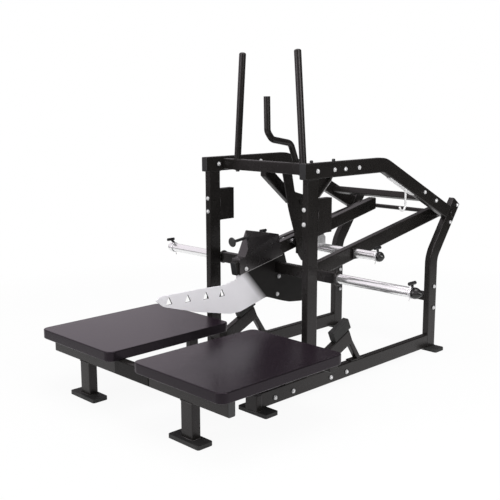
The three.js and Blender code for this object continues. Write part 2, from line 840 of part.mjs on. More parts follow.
// Cover over the lever nose: both cheeks and a top face that slants down to the right
function leverCover() {
  const body = sidePlate(softOutline(coverOutline, tubeCorner), -coverHalf, 2 * coverHalf);
  const lever = leverRoom(tubeWide + 2 * clearGap);
  const drop = upOf(leverDir).multiplyScalar(leverDeep);
  const under = sideBar(leverAt(leverFront - tubeDeep).sub(drop), leverAt(leverRear).sub(drop),
    softRectangle(2 * tubeDeep, leverDeep, clearGap));
  const nearFront = at(coverHalf, ...coverNearFront);
  const nearRear = at(coverHalf, ...coverNearRear);
  const farFront = at(-coverHalf, ...coverFarFront);
  const normal = nearRear.clone().sub(nearFront).cross(farFront.clone().sub(nearFront)).normalize();
  if (normal.z < 0) {
    normal.negate();
  }
  const knobBore = rod(knobAt(0), knobAt(knobStemLong + clearGap), knobStemRadius + clearGap, boltSides);
  const cut = solid(cutBy(body, lever, under, knobBore));
  place('lever_cover', skin(cut.trimByPlane([-normal.x, -normal.y, -normal.z], -normal.dot(nearFront))), 'frame');
}

function knobAt(along) {
  return at(0, knobBack, knobHeight).addScaledVector(direction(knobRun, knobRise), along);
}

function pullKnob() {
  const edge = half(knobStemRadius);
  const steps = [
    [-half(knobThick), knobRadius - edge], [-half(edge), knobRadius], [half(edge), knobRadius],
    [half(knobThick), knobRadius - edge], [half(knobThick), knobStemRadius], [knobStemLong, knobStemRadius],
  ];
  place('pull_knob', turned(steps, knobAt(0), direction(knobRun, knobRise), rodSides), 'plastic');
}

function catchPin() {
  const height = leverAt(pinBack).z + pinLift;
  const cap = pinReach - pinCapThick;
  const steps = [[-pinReach, pinCapRadius], [-cap, pinCapRadius], [-cap, pinRadius], [cap, pinRadius],
    [cap, pinCapRadius], [pinReach, pinCapRadius]];
  place('catch_pin', turned(steps, at(0, pinBack, height), at(1, 0, 0), rodSides), 'chrome');
}

// Safety catch: hanger and its bush on the frame, catch plate and handle turning on it
function catchHanger() {
  const low = at(hangerOffset, ...hangerLow);
  const end = at(hangerOffset, ...hangerEnd);
  const dir = end.clone().sub(low).normalize();
  const lift = upOf(dir).multiplyScalar(half(memberDeep));
  const bar = sideBar(low.clone().add(lift).addScaledVector(dir, -memberDeep), end.clone().add(lift), member);
  const room = softRectangle(tubeWide, memberDeep, clearGap);
  const memberRoom = crossBar(-innerX, innerX, topMemberBack, topMemberHeight, room);
  const ahead = block(-innerX, innerX, -topMemberBack, topMemberBack - half(tubeWide), 0, rodTopHeight);
  const barTop = topMemberHeight + half(memberDeep) - tubeCorner;
  const over = block(-innerX, innerX, -topMemberBack, 2 * topMemberBack, barTop, rodTopHeight);
  const bushTo = catchInner - clearGap;
  const bush = rod(at(hangerOffset - half(tubeWide), ...catchPivot), at(bushTo, ...catchPivot), catchBushRadius,
    rodSides);
  const headFrom = catchInner + catchThick + clearGap;
  const pinSteps = [
    [hangerOffset - half(tubeWide), catchPinRadius], [headFrom, catchPinRadius], [headFrom, washerRadius],
    [headFrom + headThick, washerRadius],
  ];
  const pin = turned(pinSteps, at(0, ...catchPivot), at(1, 0, 0), boltSides);
  place('catch_hanger', joined(cutBy(bar, memberRoom, ahead, over), bush, pin), 'frame');
}

function catchArm() {
  const plate = sidePlate(softOutline(catchOutline, catchCorner), catchInner, catchThick);
  const bore = rod(at(0, ...catchPivot), at(frameHalf, ...catchPivot), catchPinRadius + clearGap, boltSides);
  const hook = block(catchInner - hookDeep, catchInner + half(catchThick), hookFront, hookRear, hookLow, hookHigh);
  place('catch_plate', cutBy(joined(plate, hook), bore), 'frame');
  const x = catchInner - handleRadius - clearGap;
  const path = bentPath(handlePath.map(([y, z]) => at(x, y, z)), handleBend);
  place('release_handle', loft(pathRings(path, roundSection(handleRadius, rodSides))), 'plastic');
}

// Hook rod under the right-hand slope
function plateHook() {
  const under = (back) => slopeLineAt(back).z - half(tubeDeep) / slopeDir.y;
  const from = at(sideX, jHookPlateFront, under(jHookPlateFront)).addScaledVector(upOf(slopeDir),
    -half(jHookPlateThick) - clearGap);
  const to = at(sideX, jHookPlateRear, under(jHookPlateRear)).addScaledVector(upOf(slopeDir),
    -half(jHookPlateThick) - clearGap);
  const strap = sideBar(from, to, softRectangle(jHookPlateWide, jHookPlateThick, half(half(jHookPlateThick))));
  const path = bentPath(jHookPath.map(([y, z]) => at(sideX, y, z)), jHookBend);
  const hook = loft(pathRings(path, roundSection(jHookRadius, boltSides)));
  const above = sideBar(from.clone().addScaledVector(upOf(slopeDir), jHookPlateThick), to.clone()
    .addScaledVector(upOf(slopeDir), jHookPlateThick), softRectangle(jHookPlateWide, jHookPlateThick, clearGap));
  place('plate_hook', cutBy(joined(strap, hook), above), 'chrome');
}

sideFrames();
crossMembers();
gripRods();
feet();
platforms();
lowerStops();
upperStops();
pivotShaft();
leverFrame();
horns();
beltPlate();
leverCover();
pullKnob();
catchPin();
catchHanger();
catchArm();
plateHook();

const rearMost = leanEnd.y + half(tubeDeep) * leanDir.z;
machine.position.y = -half(deckFront + rearMost);
const group = new THREE.Group();
group.name = 'belt_squat';
group.add(machine);
export default group;
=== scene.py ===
import json
import math

import bmesh
import bpy
from mathutils import Matrix, Vector


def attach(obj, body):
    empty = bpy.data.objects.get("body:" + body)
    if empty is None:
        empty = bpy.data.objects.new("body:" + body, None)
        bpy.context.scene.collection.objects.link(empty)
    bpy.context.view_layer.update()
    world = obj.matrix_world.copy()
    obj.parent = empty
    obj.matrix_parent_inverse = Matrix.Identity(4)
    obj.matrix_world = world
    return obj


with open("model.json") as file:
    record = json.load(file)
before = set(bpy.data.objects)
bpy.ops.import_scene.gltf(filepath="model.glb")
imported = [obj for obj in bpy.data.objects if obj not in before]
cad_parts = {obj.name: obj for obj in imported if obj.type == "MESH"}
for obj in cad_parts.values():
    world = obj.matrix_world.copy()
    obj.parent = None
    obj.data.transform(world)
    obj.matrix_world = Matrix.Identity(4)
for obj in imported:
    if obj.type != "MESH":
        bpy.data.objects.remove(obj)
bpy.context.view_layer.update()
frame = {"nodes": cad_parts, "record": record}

NODES = frame["nodes"]
MM = 0.001
X_WAY, Y_WAY, Z_WAY = Vector((1, 0, 0)), Vector((0, 1, 0)), Vector((0, 0, 1))

# How far the row frame's origin lies behind the CAD's own, the front uprights' front face (mm)
ORIGIN_BACK = 262.15

# Camera, fitted to the photograph (metres, row frame)
CAMERA_SPOT = (3.05822, -3.29616, 1.49664)
CAMERA_FORWARD = (-0.70162381, 0.68999411, -0.17785432)
CAMERA_RIGHT = (0.70150794, 0.71265683, -0.00261823)
CAMERA_UP = (-0.12494254, 0.12660323, 0.98405334)
CAMERA_LENS = 58.942
CAMERA_SENSOR = 36.0
CAMERA_REACH = 50.0

# Soft lights: name, place, aim, width and height, power
LIGHTS = [
    ("top_soft", (0.3, -0.4, 4.2), (0, 0, 0.6), (3.2, 3.2), 70),
    ("key_soft", (4.2, -0.6, 2.6), (0, 0, 0.8), (2.2, 2.2), 90),
    ("front_soft", (-0.8, -4.6, 2.2), (0, 0, 0.7), (2.2, 2.2), 60),
]

# Side frame sizes, as the CAD has them (mm)
FRAME_HALF = 385
TUBE_WIDE = 40
TUBE_DEEP = 80
TUBE_X = FRAME_HALF - TUBE_WIDE / 2
INNER_X = FRAME_HALF - TUBE_WIDE

# Top cross member, and the grip rods that stand on it (mm)
MEMBER_BACK = 118
MEMBER_TOP = 1186
MEMBER_LOW = 1126
ROD_X = 243


def spot(x, back, height):
    """A point in the CAD's own mm, as metres in the row frame."""
    return Vector((x, back - ORIGIN_BACK, height)) * MM


def make_camera():
    data = bpy.data.cameras.new("camera")
    data.lens = CAMERA_LENS
    data.sensor_width = CAMERA_SENSOR
    data.clip_end = CAMERA_REACH
    camera = bpy.data.objects.new("camera", data)
    right, up = Vector(CAMERA_RIGHT), Vector(CAMERA_UP)
    back = -Vector(CAMERA_FORWARD)
    basis = Matrix((right, up, back)).transposed().to_4x4()
    camera.matrix_world = Matrix.Translation(CAMERA_SPOT) @ basis
    bpy.context.scene.collection.objects.link(camera)
    bpy.context.scene.camera = camera


def area_light(name, place, aim, size, power):
    data = bpy.data.lights.new(name, "AREA")
    data.shape = "RECTANGLE"
    data.size, data.size_y = size
    data.energy = power
    light = bpy.data.objects.new(name, data)
    light.location = place
    way = Vector(aim) - Vector(place)
    light.rotation_euler = way.to_track_quat("-Z", "Y").to_euler()
    bpy.context.scene.collection.objects.link(light)


class Graph:
    """Short calls for building a node tree; a value may be a socket, a number or a colour."""

    def __init__(self, tree):
        self.tree = tree
        self.tree.nodes.clear()

    def add(self, kind, **values):
        node = self.tree.nodes.new(kind)
        for key, value in values.items():
            setattr(node, key, value)
        return node

    def link(self, out, into):
        self.tree.links.new(out, into)

    def feed(self, value, socket):
        if isinstance(value, (int, float)):
            socket.default_value = value
        elif isinstance(value, tuple):
            socket.default_value = (*value, 1.0)
        else:
            self.link(value, socket)

    def spread(self, factor, low, high, start=0.3, end=0.7, kind="LINEAR"):
        """Maps the factor's run from start to end onto low to high, and clamps."""
        node = self.add("ShaderNodeMapRange", interpolation_type=kind)
        node.inputs["From Min"].default_value = start
        node.inputs["From Max"].default_value = end
        node.inputs["To Min"].default_value = low
        node.inputs["To Max"].default_value = high
        self.link(factor, node.inputs["Value"])
        return node.outputs[0]

    def mix(self, factor, a, b):
        """Colour a where the factor is 0, colour b where it is 1."""
        node = self.add("ShaderNodeMix", data_type="RGBA")
        for value, socket in ((factor, 0), (a, 6), (b, 7)):
            self.feed(value, node.inputs[socket])
        return node.outputs[2]

    def blend(self, factor, a, b):
        """Number a where the factor is 0, number b where it is 1."""
        node = self.add("ShaderNodeMix", data_type="FLOAT")
        for value, socket in ((factor, 0), (a, 2), (b, 3)):
            self.feed(value, node.inputs[socket])
        return node.outputs[0]

    def math(self, operation, a, b=0.0):
        node = self.add("ShaderNodeMath", operation=operation)
        self.feed(a, node.inputs[0])
        self.feed(b, node.inputs[1])
        return node.outputs[0]

    def times(self, a, b):
        return self.math("MULTIPLY", a, b)

    def sum(self, a, b):
        return self.math("ADD", a, b)


class Coat(Graph):
    """A material's node tree around one Principled shader."""

    def __init__(self, name):
        self.material = bpy.data.materials.new(name)
        self.material.use_nodes = True
        super().__init__(self.material.node_tree)
        self.shader = self.add("ShaderNodeBsdfPrincipled")
        self.out = self.add("ShaderNodeOutputMaterial")
        self.link(self.shader.outputs[0], self.out.inputs["Surface"])
        self.coords = self.add("ShaderNodeTexCoord").outputs["Object"]

    def put(self, **values):
        """Sets the shader's inputs; an underscore stands for a space."""
        for key, value in values.items():
            self.feed(value, self.shader.inputs[key.replace("_", " ")])

    def noise(self, scale, detail=3.0, rough=0.5, stretch=None):
        """Noise with scale features to the metre, drawn out along an axis where stretch is low."""
        node = self.add("ShaderNodeTexNoise")
        node.inputs["Scale"].default_value = scale
        node.inputs["Detail"].default_value = detail
        node.inputs["Roughness"].default_value = rough
        source = self.coords
        if stretch:
            mapping = self.add("ShaderNodeMapping")
            mapping.inputs["Scale"].default_value = stretch
            self.link(source, mapping.inputs["Vector"])
            source = mapping.outputs[0]
        self.link(source, node.inputs["Vector"])
        return node.outputs["Fac"]

    def clouds(self, factor, dark, light, start=0.3, end=0.7):
        """A colour that drifts from dark to light with the factor."""
        node = self.add("ShaderNodeValToRGB")
        stops = ((start, dark), (end, light))
        for element, (at, colour) in zip(node.color_ramp.elements, stops):
            element.position = at
            element.color = (*colour, 1.0)
        self.link(factor, node.inputs[0])
        return node.outputs[0]

    def bump(self, height, strength, distance, under=None):
        """A bumpy normal, distance deep in metres, on top of the one given as under."""
        node = self.add("ShaderNodeBump")
        node.inputs["Strength"].default_value = strength
        node.inputs["Distance"].default_value = distance
        self.link(height, node.inputs["Height"])
        if under is not None:
            self.link(under, node.inputs["Normal"])
        return node.outputs[0]

    def axis(self, name):
        node = self.add("ShaderNodeSeparateXYZ")
        self.link(self.coords, node.inputs[0])
        return node.outputs[name]

    def within(self, value, middle, reach):
        """1 where the value lies less than reach from the middle, else 0."""
        away = self.math("ABSOLUTE", self.math("SUBTRACT", value, middle))
        return self.math("LESS_THAN", away, reach)


def powder_coat(name, dark, light, shine=0.3):
    m = Coat(name)
    fine = m.bump(m.noise(900, 2), 0.1, 0.0004)
    m.put(Base_Color=m.clouds(m.noise(3.5, 4), dark, light, end=0.72),
          Roughness=m.spread(m.noise(14, 4), 0.22, 0.31),
          Normal=m.bump(m.noise(60, 3), 0.05, 0.0012, fine),
          Specular_Tint=(1.0, 0.94, 0.97), Specular_IOR_Level=shine,
          Sheen_Weight=0.12, Sheen_Roughness=0.22, Sheen_Tint=(1.0, 0.96, 0.97))
    return m.material


def deck_coat():
    m = Coat("deck_charcoal")
    grit = m.noise(420, 3, 0.6)
    tone = m.clouds(m.noise(4.0, 5, 0.6), (0.0075, 0.0062, 0.0074), (0.0105, 0.0088, 0.0103))
    m.put(Base_Color=m.mix(m.spread(grit, 0.0, 0.35, 0.45, 0.7), tone, (0.014, 0.012, 0.0138)),
          Roughness=m.spread(grit, 0.22, 0.3), Normal=m.bump(grit, 0.2, 0.0004),
          Specular_Tint=(1.0, 0.8, 0.98), Specular_IOR_Level=0.2,
          Sheen_Weight=0.05, Sheen_Roughness=0.35, Sheen_Tint=(1.0, 0.5, 0.95))
    return m.material


def rubber():
    m = Coat("rubber_black")
    grit = m.noise(600, 3)
    m.put(Base_Color=m.clouds(m.noise(9, 4), (0.011, 0.011, 0.011), (0.022, 0.022, 0.021)),
          Roughness=m.spread(grit, 0.6, 0.8), Normal=m.bump(grit, 0.3, 0.0005))
    return m.material


# Inks and metals that the materials share or switch to
RING_STEEL = (0.85, 0.85, 0.86)
RING_METAL = 0.8
BALL_BLACK = (0.012, 0.012, 0.012)
# Painted shade for the walls of the belt plate's hitch holes
HOLE_SHADE = (0.03, 0.028, 0.03)
# Painted dark reflection on the back of the belt plate
BELT_REFLECTION_BLACK = (0.011, 0.010, 0.0095)


def plastic(name="plastic_black", ring=None):
    """Black plastic; steel within a (Y, Z, radius) ring around an axis along X, if one is given."""
    m = Coat(name)
    tone = m.clouds(m.noise(12, 4), (0.012, 0.012, 0.013), (0.02, 0.02, 0.021))
    if ring:
        offsets = [m.math("SUBTRACT", m.axis(way), centre) for way, centre in zip("YZ", ring)]
        away = m.math("SQRT", m.sum(*(m.times(value, value) for value in offsets)))
        steel = m.math("LESS_THAN", away, ring[2])
        m.put(Base_Color=m.mix(steel, tone, RING_STEEL), Metallic=m.times(steel, RING_METAL))
    else:
        m.put(Base_Color=tone)
    m.put(Roughness=m.spread(m.noise(30, 3), 0.28, 0.4),
          Normal=m.bump(m.noise(1200, 2), 0.15, 0.0003))
    return m.material


def chrome(name="horn_chrome", tone=0.92, rough=(0.12, 0.2), metal=0.8, black=()):
    """Chrome, black where X lies past one of the (sign, metres) limits in black."""
    m = Coat(name)
    bright = m.clouds(m.noise(6, 3), (tone,) * 3, (tone + 0.03, tone + 0.03, tone + 0.04))
    mask = 0.0
    for sign, limit in black:
        past = m.math("GREATER_THAN", m.times(m.axis("X"), sign), limit)
        mask = m.math("MAXIMUM", mask, past)
    m.put(Base_Color=m.mix(mask, bright, BALL_BLACK),
          Metallic=m.times(m.math("SUBTRACT", 1.0, mask), metal),
          Roughness=m.spread(m.noise(24, 3, 0.5, (0.3, 1, 1)), *rough),
          Normal=m.bump(m.noise(500, 2, 0.5, (0.05, 1, 1)), 0.02, 0.0002))
    return m.material


# The belt plate's silver turns black along a slanted line, a painted dark reflection of the studio
# in the plate: metres of Y plus a share of Z
FADE_SLOPE = 0.91
FADE = (0.180, 0.245)

# The walls of its four hitch holes get painted shade, dark as the inside of a hole: the band they
# lie in, as metres of Z plus a share of Y, and its middle and reach along Y
HOLE_SLOPE = 0.0485
HOLE_LEVEL = 0.500
HOLE_BAND = 0.026
HOLE_MIDDLE = -0.6727
HOLE_REACH = 0.205


def belt_steel():
    m = Coat("belt_steel")
    across = m.sum(m.axis("Y"), m.times(m.axis("Z"), FADE_SLOPE))
    tone = m.clouds(m.noise(7, 3), (0.93, 0.91, 0.95), (0.97, 0.95, 0.99))
    level = m.sum(m.axis("Z"), m.times(m.axis("Y"), HOLE_SLOPE))
    row = m.times(m.within(level, HOLE_LEVEL, HOLE_BAND),
                  m.within(m.axis("Y"), HOLE_MIDDLE, HOLE_REACH))
    facing = m.add("ShaderNodeSeparateXYZ")
    m.link(m.add("ShaderNodeTexCoord").outputs["Normal"], facing.inputs[0])
    # The hole walls are painted dark: painted shade inside the holes
    hole_shade = m.times(m.within(facing.outputs["X"], 0.0, 0.5), row)
    silver = m.mix(hole_shade, tone, HOLE_SHADE)
    # Past the slanted line the plate turns black, with less metal and shine: a painted dark
    # reflection
    m.put(Base_Color=m.mix(m.spread(across, 0.0, 1.0, *FADE), silver, BELT_REFLECTION_BLACK),
          Roughness=m.spread(m.noise(90, 3, 0.5, (1, 0.2, 1)), 0.38, 0.5),
          Metallic=m.spread(across, 0.15, 0.0, *FADE),
          Specular_IOR_Level=m.spread(across, 0.5, 0.15, *FADE),
          Normal=m.bump(m.noise(700, 2, 0.5, (1, 0.1, 1)), 0.08, 0.0003))
    return m.material


MATERIALS = {
    "frame_black": powder_coat("frame_black", (0.0118, 0.0108, 0.0100), (0.0155, 0.0142, 0.0132)),
    # Pale grey for the lips: a painted highlight on black edges that catch the light
    "lip_painted_highlight": powder_coat("lip_painted_highlight", (0.26, 0.25, 0.25), (0.34, 0.33, 0.33), 0.5),
    "deck_charcoal": deck_coat(),
    "rubber_black": rubber(),
    "horn_chrome": chrome(),
    "pin_steel": chrome("pin_steel", 0.80, (0.28, 0.4), 0.4),
    "plastic_black": plastic(),
    "belt_steel": belt_steel(),
}

# Clip rings, as (Y, Z, radius) in metres
LONG_CLIP_RING = (-0.07915, 0.6003, 0.0305)
SHORT_CLIP_RING = (0.25985, 0.670, 0.0305)

# X past which the horns' end balls and the pin's end discs are black, as (sign, metres)
LONG_HORN_BALLS = ((1, 0.893), (-1, 0.931))
SHORT_HORN_BALLS = ((1, 0.435), (-1, 0.435))
PIN_DISCS = ((1, 0.0439), (-1, 0.0439))


def special_materials():
    """Materials of the nodes whose looks differ from their slot's."""
    joint = powder_coat("joint_black", (0.009, 0.0082, 0.0078), (0.012, 0.011, 0.0104), 0.1)
    cover = powder_coat("cover_black", (0.0118, 0.0108, 0.0108), (0.0155, 0.0142, 0.0142), 0.9)
    special = {
        "catch_pin": chrome("horn_chrome_pin", black=PIN_DISCS),
        "pivot_shaft": MATERIALS["frame_black"],
        "deck_joint_plate": joint,
        "lever_cover": cover,
        "plate_hook": chrome("horn_chrome_hook", 0.93, (0.3, 0.4), 0.3),
    }
    pairs = {
        "long_horn": chrome("horn_chrome_long", black=LONG_HORN_BALLS),
        "short_horn": chrome("horn_chrome_short", black=SHORT_HORN_BALLS),
        "long_clip": plastic("plastic_long_clip", LONG_CLIP_RING),
        "short_clip": plastic("plastic_short_clip", SHORT_CLIP_RING),
    }
    for name, material in pairs.items():
        special[f"{name}_L"] = special[f"{name}_R"] = material
    return special


# Edge rounding; on the nodes left out it would throw spikes
BEVEL = 0.0009
SPLIT_ANGLE = math.radians(44)
WELD_REACH = 0.00001
UNBEVELLED = ("catch_hanger", "front_upright_R", "plate_hook")


def soften(name, node):
    """Rounds a CAD node's hard edges and smooths its curves, as modifiers on its own mesh."""
    node.data.polygons.foreach_set("use_smooth", [True] * len(node.data.polygons))
    weld = node.modifiers.new("weld", "WELD")
    weld.merge_threshold = WELD_REACH
    if name not in UNBEVELLED:
        bevel = node.modifiers.new("bevel", "BEVEL")
        bevel.width = BEVEL
        bevel.segments = 2
        bevel.limit_method = "ANGLE"
        bevel.angle_limit = SPLIT_ANGLE
        bevel.use_clamp_overlap = False
    split = node.modifiers.new("split", "EDGE_SPLIT")
    split.split_angle = SPLIT_ANGLE
    split.use_edge_sharp = False
    normals = node.modifiers.new("normals", "WEIGHTED_NORMAL")
    normals.weight = 60


def dress_nodes():
    slots = {s["node"]: s["material_slot"] for s in frame["record"]["subparts"]}
    special = special_materials()
    for name, node in NODES.items():
        node.data.materials.clear()
        node.data.materials.append(special.get(name, MATERIALS[slots[name]]))
        soften(name, node)


def new_piece(name, mesh_maker, body, slot, material=None):
    mesh = bpy.data.meshes.new(name)
    bm = bmesh.new()
    mesh_maker(bm)
    bmesh.ops.recalc_face_normals(bm, faces=bm.faces)
    bm.to_mesh(mesh)
    bm.free()
    mesh.materials.append(material or MATERIALS[slot])
    piece = bpy.data.objects.new(name, mesh)
    bpy.context.scene.collection.objects.link(piece)
    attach(piece, body)


def add_rings(bm, rings, closed=False):
    """Skins a row of point rings: round in a loop if closed, else with a face at each end."""
    rows = [[bm.verts.new(point) for point in ring] for ring in rings]
    following = rows[1:] + rows[:1] if closed else rows[1:]
    for low, high in zip(rows, following):
        for side in range(len(low)):
            nxt = (side + 1) % len(low)
            bm.faces.new((low[side], low[nxt], high[nxt], high[side]))
    if not closed:
        bm.faces.new(rows[0][::-1])
        bm.faces.new(rows[-1])


def add_turned(bm, steps, origin, axis, sides):
    """Adds a turned shape: [distance along the axis, radius] steps, closed at both ends."""
    axis = Vector(axis).normalized()
    across = axis.orthogonal().normalized()
    up = axis.cross(across)
    turns = [2 * math.pi * (side + 0.5) / sides for side in range(sides)]
    rings = []
    for along, radius in steps:
        centre = origin + axis * along
        rings.append([centre + across * math.cos(t) * radius + up * math.sin(t) * radius
                      for t in turns])
    add_rings(bm, rings)


# Bolts and nuts: a black washer under a bright hexagon head
WASHER_RADIUS = 14.5 * MM
WASHER_THICK = 2.4 * MM
HEAD_RADIUS = 10.5 * MM
HEAD_THICK = 6 * MM
CHAMFER = 1.0 * MM
ROUND_SIDES = 28
STUB_SIDES = 16


def add_washer(bm, origin, axis):
    steps = [(0, WASHER_RADIUS), (WASHER_THICK * 0.7, WASHER_RADIUS),
             (WASHER_THICK, WASHER_RADIUS - CHAMFER * 0.6)]
    add_turned(bm, steps, origin, axis, ROUND_SIDES)


def add_head(bm, origin, axis):
    top = WASHER_THICK + HEAD_THICK
    collar = HEAD_RADIUS * 1.08
    stub = HEAD_RADIUS * 0.55
    add_turned(bm, [(WASHER_THICK, collar), (WASHER_THICK + CHAMFER, collar)],
               origin, axis, ROUND_SIDES)
    add_turned(bm, [(WASHER_THICK + CHAMFER, HEAD_RADIUS), (top - CHAMFER, HEAD_RADIUS),
                    (top, HEAD_RADIUS - CHAMFER * 1.4)], origin, axis, 6)
    add_turned(bm, [(top - CHAMFER, stub), (top + CHAMFER * 1.6, stub),
                    (top + CHAMFER * 2.4, stub - CHAMFER)], origin, axis, STUB_SIDES)


def bolts(name, spots, body):
    def maker(add_part):
        def fill(bm):
            for origin, axis in spots:
                add_part(bm, origin, axis)
        return fill
    new_piece(f"{name}_washers", maker(add_washer), body, "plastic_black")
    new_piece(name, maker(add_head), body, "pin_steel")


# Bolts through the side frames, as (Y, Z) in mm: a pair at the end of each cross member, and
# those that show on the outer face
BOLT_HALF = 66
MEMBER_BOLTS = [(-168 - BOLT_HALF, 53), (-168 + BOLT_HALF, 53),
                (261 - BOLT_HALF, 53), (261 + BOLT_HALF, 53),
                (134 - BOLT_HALF, 1156), (134 + BOLT_HALF, 1156),
                (1158, 328 - BOLT_HALF), (1158, 328 + BOLT_HALF)]
OUTER_BOLTS = [(287, 1155), (401, 1156), (1024, 977), (1145, 918), (1381, 870), (1309, 772)]
INNER_BOLTS = MEMBER_BOLTS + OUTER_BOLTS[:2]
BOX_BOLT_HEIGHTS = (892, 966)
BOX_BOLT_X = 360
COVER_BOLT = (-86, 632)
COVER_HALF = 30
BELT_BOLTS = [(191, 547), (179, 448)]
BELT_HALF = 4


def make_bolts():
    for side, sign in (("R", 1), ("L", -1)):
        outer = [(spot(sign * FRAME_HALF, y, z), (sign, 0, 0))
                 for y, z in MEMBER_BOLTS + OUTER_BOLTS]
        bolts(f"frame_bolts_{side}", outer, "frame")
        inner = [(spot(sign * INNER_X, y, z), (-sign, 0, 0)) for y, z in INNER_BOLTS]
        bolts(f"frame_nuts_{side}", inner, "frame")
        boxes = [(spot(sign * BOX_BOLT_X, 0, z), (0, -1, 0)) for z in BOX_BOLT_HEIGHTS]
        bolts(f"stop_box_bolts_{side}", boxes, "frame")
    cover = [(spot(sign * COVER_HALF, *COVER_BOLT), (sign, 0, 0)) for sign in (1, -1)]
    bolts("cover_bolts", cover, "lever")
    belt = [(spot(sign * BELT_HALF, y, z), (sign, 0, 0))
            for y, z in BELT_BOLTS for sign in (1, -1)]
    bolts("belt_bolts", belt, "lever")


# Washer and nut under each grip rod, and the plugs in the right top beam: turned steps in metres
ROD_WASHER = [(0, 0.015), (0.002, 0.015)]
ROD_NUT = [(0.002, 0.012), (0.008, 0.012), (0.0095, 0.0105)]
PLUG = [(0, 0.009), (0.010, 0.009), (0.013, 0.0065), (0.014, 0.003)]
PLUG_BACKS = (44, 215)
PLUG_SIDES = 20
BEAM_TOP = 1197


def make_rod_nuts():
    def maker(bm):
        for sign in (1, -1):
            low = spot(sign * ROD_X, MEMBER_BACK, MEMBER_LOW)
            add_turned(bm, ROD_WASHER, low, -Z_WAY, ROUND_SIDES)
            add_turned(bm, ROD_NUT, low, -Z_WAY, 6)
        for back in PLUG_BACKS:
            add_turned(bm, PLUG, spot(TUBE_X, back, BEAM_TOP), Z_WAY, PLUG_SIDES)
    new_piece("rod_nuts_and_plugs", maker, "frame", "plastic_black")


# Plastic caps in the open tube ends
LEVER_WAY = Vector((0, 1000, 205)).normalized()
LEAN_WAY = Vector((0, 229.6, 312.2)).normalized()
CAP_THICK = 3 * MM
CAP_CORNER = 6 * MM
CAP_EDGE = 1.2 * MM
CAP_GAP = 0.2 * MM
CORNER_STEPS = 4

# Cap middles (mm): the top beam's front end, the rear upright's top and the deck beam's end on
# the right-hand side, and the lever beam's two ends
TOP_BEAM_END = (TUBE_X, -19, 1157)
REAR_TOP_END = (TUBE_X, 1377.6, 892.2)
DECK_BEAM_END = (674, -801, 231)
LEVER_NOSE = (0, -145, 635.8)
LEVER_TAIL = (0, 1043, 879.35)
NOSE_HALF = 35
TAIL_HALF = 35.7


def rounded_ring(centre, across, up, half_across, half_up, corner):
    points = []
    for quarter, (sx, sy) in enumerate(((1, 1), (-1, 1), (-1, -1), (1, -1))):
        for step in range(CORNER_STEPS + 1):
            turn = math.pi / 2 * (quarter + step / CORNER_STEPS)
            points.append(centre
                          + across * (sx * (half_across - corner) + corner * math.cos(turn))
                          + up * (sy * (half_up - corner) + corner * math.sin(turn)))
    return points


def add_cap(bm, centre, outward, across, half_up=TUBE_DEEP / 2):
    """A cap half a tube's width wide along across, and half_up mm the other way."""
    up = outward.cross(across)
    wide, deep = TUBE_WIDE / 2 * MM, half_up * MM
    profile = ((CAP_GAP, CAP_EDGE * 0.4), (CAP_GAP + CAP_EDGE, 0.0), (CAP_THICK - CAP_EDGE, 0.0),
               (CAP_THICK - CAP_EDGE * 0.3, CAP_EDGE * 0.3), (CAP_THICK, CAP_EDGE))
    add_rings(bm, [rounded_ring(centre + outward * along, across, up, wide - inset, deep - inset,
                                CAP_CORNER - inset * 0.5) for along, inset in profile])


def make_caps():
    def frame_caps(bm):
        for sign in (1, -1):
            ends = ((TOP_BEAM_END, -Y_WAY, X_WAY), (REAR_TOP_END, LEAN_WAY, X_WAY),
                    (DECK_BEAM_END, sign * X_WAY, Y_WAY))
            for (x, y, z), outward, across in ends:
                add_cap(bm, spot(sign * x, y, z), outward, across)

    def lever_caps(bm):
        add_cap(bm, spot(*LEVER_NOSE), -LEVER_WAY, X_WAY, NOSE_HALF)
        add_cap(bm, spot(*LEVER_TAIL), Y_WAY, X_WAY, TAIL_HALF)
    new_piece("tube_caps", frame_caps, "frame", "plastic_black")
    new_piece("lever_caps", lever_caps, "lever", "plastic_black")


# Weld beads where tubes meet: closed loops with a rippled round section
BEAD_RADIUS = 2.6 * MM
BEAD_PITCH = 5.5 * MM
BEAD_RIPPLE = 0.12
BEAD_SIDES = 6
CIRCLE_STEPS = 24
ROD_BEAD_RADIUS = 19.5

# Loops of one side: middle (mm), the second way of the loop's plane beside X, half sizes (mm)
BEAD_LOOPS = [
    ((TUBE_X, 40, 100), Y_WAY, 20, 40),
    ((TUBE_X, 40, 1117), Y_WAY, 20, 40),
    ((TUBE_X, 1148, 20), Y_WAY, 20, 40),
    ((402, -796, 20), Y_WAY, 40, 25),
    ((402, -796, 191), Y_WAY, 40, 25),
    ((TUBE_X, -363, 20), Y_WAY, 40, 20),
    ((TUBE_X, 80, 927.5), Z_WAY, 20, 88.5),
]


def add_bead(bm, corners):
    count = len(corners)
    centre = sum(corners, Vector()) / count
    flat = (corners[1] - corners[0]).cross(corners[2] - corners[1]).normalized()
    turns = [2 * math.pi * k / BEAD_SIDES for k in range(BEAD_SIDES)]
    rings = []
    for i in range(count):
        start, end = corners[i], corners[(i + 1) % count]
        steps = max(2, round((end - start).length / (BEAD_PITCH / 2)))
        for step in range(steps):
            point = start.lerp(end, step / steps)
            out = point - centre
            out = (out - flat * out.dot(flat)).normalized()
            size = BEAD_RADIUS * (1 + BEAD_RIPPLE if step % 2 else 1 - BEAD_RIPPLE)
            rings.append([point + out * (size * math.cos(t)) + flat * (size * math.sin(t))
                          for t in turns])
    add_rings(bm, rings, closed=True)


def loop(centre, u, v, half_u, half_v):
    return [centre + u * (su * half_u * MM) + v * (sv * half_v * MM)
            for su, sv in ((1, 1), (-1, 1), (-1, -1), (1, -1))]


def circle(centre, u, v, radius):
    turns = [2 * math.pi * k / CIRCLE_STEPS for k in range(CIRCLE_STEPS)]
    return [centre + u * (radius * MM * math.cos(t)) + v * (radius * MM * math.sin(t))
            for t in turns]


